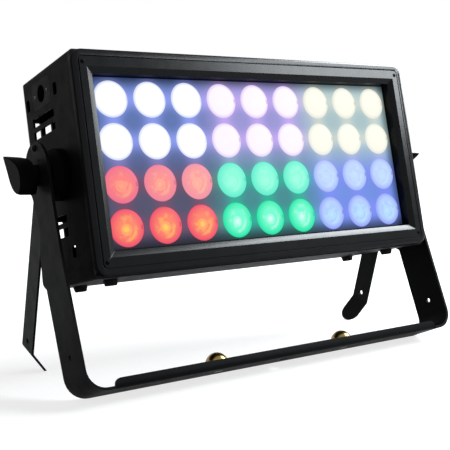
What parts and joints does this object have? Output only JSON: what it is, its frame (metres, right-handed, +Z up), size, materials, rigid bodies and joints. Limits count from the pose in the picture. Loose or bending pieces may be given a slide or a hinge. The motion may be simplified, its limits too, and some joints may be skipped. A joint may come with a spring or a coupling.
{
  "type": "led wash light",
  "caption": "Rectangular stage wash light with rows of round lenses, on a folded tilting yoke with two swing-out rear legs for floor use.",
  "frame": {"origin": "on the floor, below the middle of the whole light's bounding box, with the head, yoke and legs as pictured", "axes": "+X to the viewer's right along the tilt axis, +Y away from the lit face, +Z up"},
  "size_m": [0.554, 0.2074, 0.342],
  "materials": {
    "bezel_grey": "satin black powder coat over a cast frame",
    "plated_steel": "plated",
    "black_steel": "black oxide on steel",
    "mask_black": "satin",
    "lens_top_left": "clear lens, lit cool white",
    "lens_top_middle": "clear lens, lit pinkish white",
    "lens_top_right": "clear lens, lit warm white",
    "lens_bottom_left": "clear lens, lit coral red",
    "lens_bottom_middle": "clear lens, lit mint green",
    "lens_bottom_right": "clear lens, lit lavender blue",
    "board_white": "white solder mask",
    "sink_aluminium": "extruded",
    "housing_black": "satin black powder coat",
    "display_black": "gloss",
    "circuit_green": "solder mask",
    "button_black": "moulded",
    "supply_aluminium": "sheet",
    "socket_black": "moulded",
    "boss_black": "satin black powder coat",
    "foot_rubber": "matt",
    "yoke_black": "fine textured black powder coat on steel",
    "yellow_zinc": "yellow zinc plating",
    "leg_black": "fine textured black powder coat on steel",
    "knob_plastic": "moulded, slight sheen"
  },
  "bodies": {
    "yoke": {"front_yoke": "yoke_black", "bar_bolt_left": "yellow_zinc", "bar_bolt_right": "yellow_zinc", "arm_screw_left": "black_steel", "arm_screw_right": "black_steel", "pivot_washer_left": "plated_steel", "pivot_washer_right": "plated_steel"},
    "head": {"front_bezel": "bezel_grey", "bezel_screw_top_left": "black_steel", "bezel_screw_top_right": "black_steel", "bezel_screw_bottom_left": "black_steel", "bezel_screw_bottom_right": "black_steel", "cover_screw_top_left": "plated_steel", "cover_screw_top_right": "plated_steel", "cover_screw_bottom_left": "plated_steel", "cover_screw_bottom_right": "plated_steel", "lens_mask": "mask_black", "lens_zone_top_left": "lens_top_left", "lens_zone_top_middle": "lens_top_middle", "lens_zone_top_right": "lens_top_right", "lens_zone_bottom_left": "lens_bottom_left", "lens_zone_bottom_middle": "lens_bottom_middle", "lens_zone_bottom_right": "lens_bottom_right", "led_board": "board_white", "heat_sink": "sink_aluminium", "housing": "housing_black", "rear_cover": "housing_black", "display_window": "display_black", "control_board": "circuit_green", "power_supply": "supply_aluminium", "power_in_socket": "socket_black", "power_out_socket": "socket_black", "data_in_socket": "socket_black", "data_out_socket": "socket_black", "left_boss": "boss_black", "right_boss": "boss_black", "rubber_foot_left_front": "foot_rubber", "rubber_foot_left_rear": "foot_rubber", "rubber_foot_right_front": "foot_rubber", "rubber_foot_right_rear": "foot_rubber"},
    "left_leg": {"left_leg": "leg_black"},
    "right_leg": {"right_leg": "leg_black"},
    "left_clamp": {"left_knob": "knob_plastic", "left_stud": "plated_steel"},
    "right_clamp": {"right_knob": "knob_plastic", "right_stud": "plated_steel"},
    "button_1": {"menu_button_1": "button_black"},
    "button_2": {"menu_button_2": "button_black"},
    "button_3": {"menu_button_3": "button_black"},
    "button_4": {"menu_button_4": "button_black"}
  },
  "joints": [
    {"name": "head_tilt", "type": "hinge", "parent": "yoke", "child": "head", "pos_m": [0, 0.00585, 0.21694], "axis": [1, 0, 0], "range_deg": [-76, 104]},
    {"name": "left_leg_swing", "type": "hinge", "parent": "yoke", "child": "left_leg", "pos_m": [-0.2429, 0.00585, 0.21694], "axis": [1, 0, 0], "range_deg": [-23, 60]},
    {"name": "right_leg_swing", "type": "hinge", "parent": "yoke", "child": "right_leg", "pos_m": [0.2429, 0.00585, 0.21694], "axis": [1, 0, 0], "range_deg": [-23, 60]},
    {"name": "left_knob_turn", "type": "hinge", "parent": "yoke", "child": "left_clamp", "pos_m": [-0.263, 0.00585, 0.21694], "axis": [1, 0, 0], "continuous": true},
    {"name": "right_knob_turn", "type": "hinge", "parent": "yoke", "child": "right_clamp", "pos_m": [0.263, 0.00585, 0.21694], "axis": [1, 0, 0], "continuous": true},
    {"name": "button_1_press", "type": "slide", "parent": "head", "child": "button_1", "axis": [0, -0.971, 0.2392], "range_m": [0, 0.001], "stiffness_N_per_m": 600, "springref_m": -0.001},
    {"name": "button_2_press", "type": "slide", "parent": "head", "child": "button_2", "axis": [0, -0.971, 0.2392], "range_m": [0, 0.001], "stiffness_N_per_m": 600, "springref_m": -0.001},
    {"name": "button_3_press", "type": "slide", "parent": "head", "child": "button_3", "axis": [0, -0.971, 0.2392], "range_m": [0, 0.001], "stiffness_N_per_m": 600, "springref_m": -0.001},
    {"name": "button_4_press", "type": "slide", "parent": "head", "child": "button_4", "axis": [0, -0.971, 0.2392], "range_m": [0, 0.001], "stiffness_N_per_m": 600, "springref_m": -0.001}
  ]
}
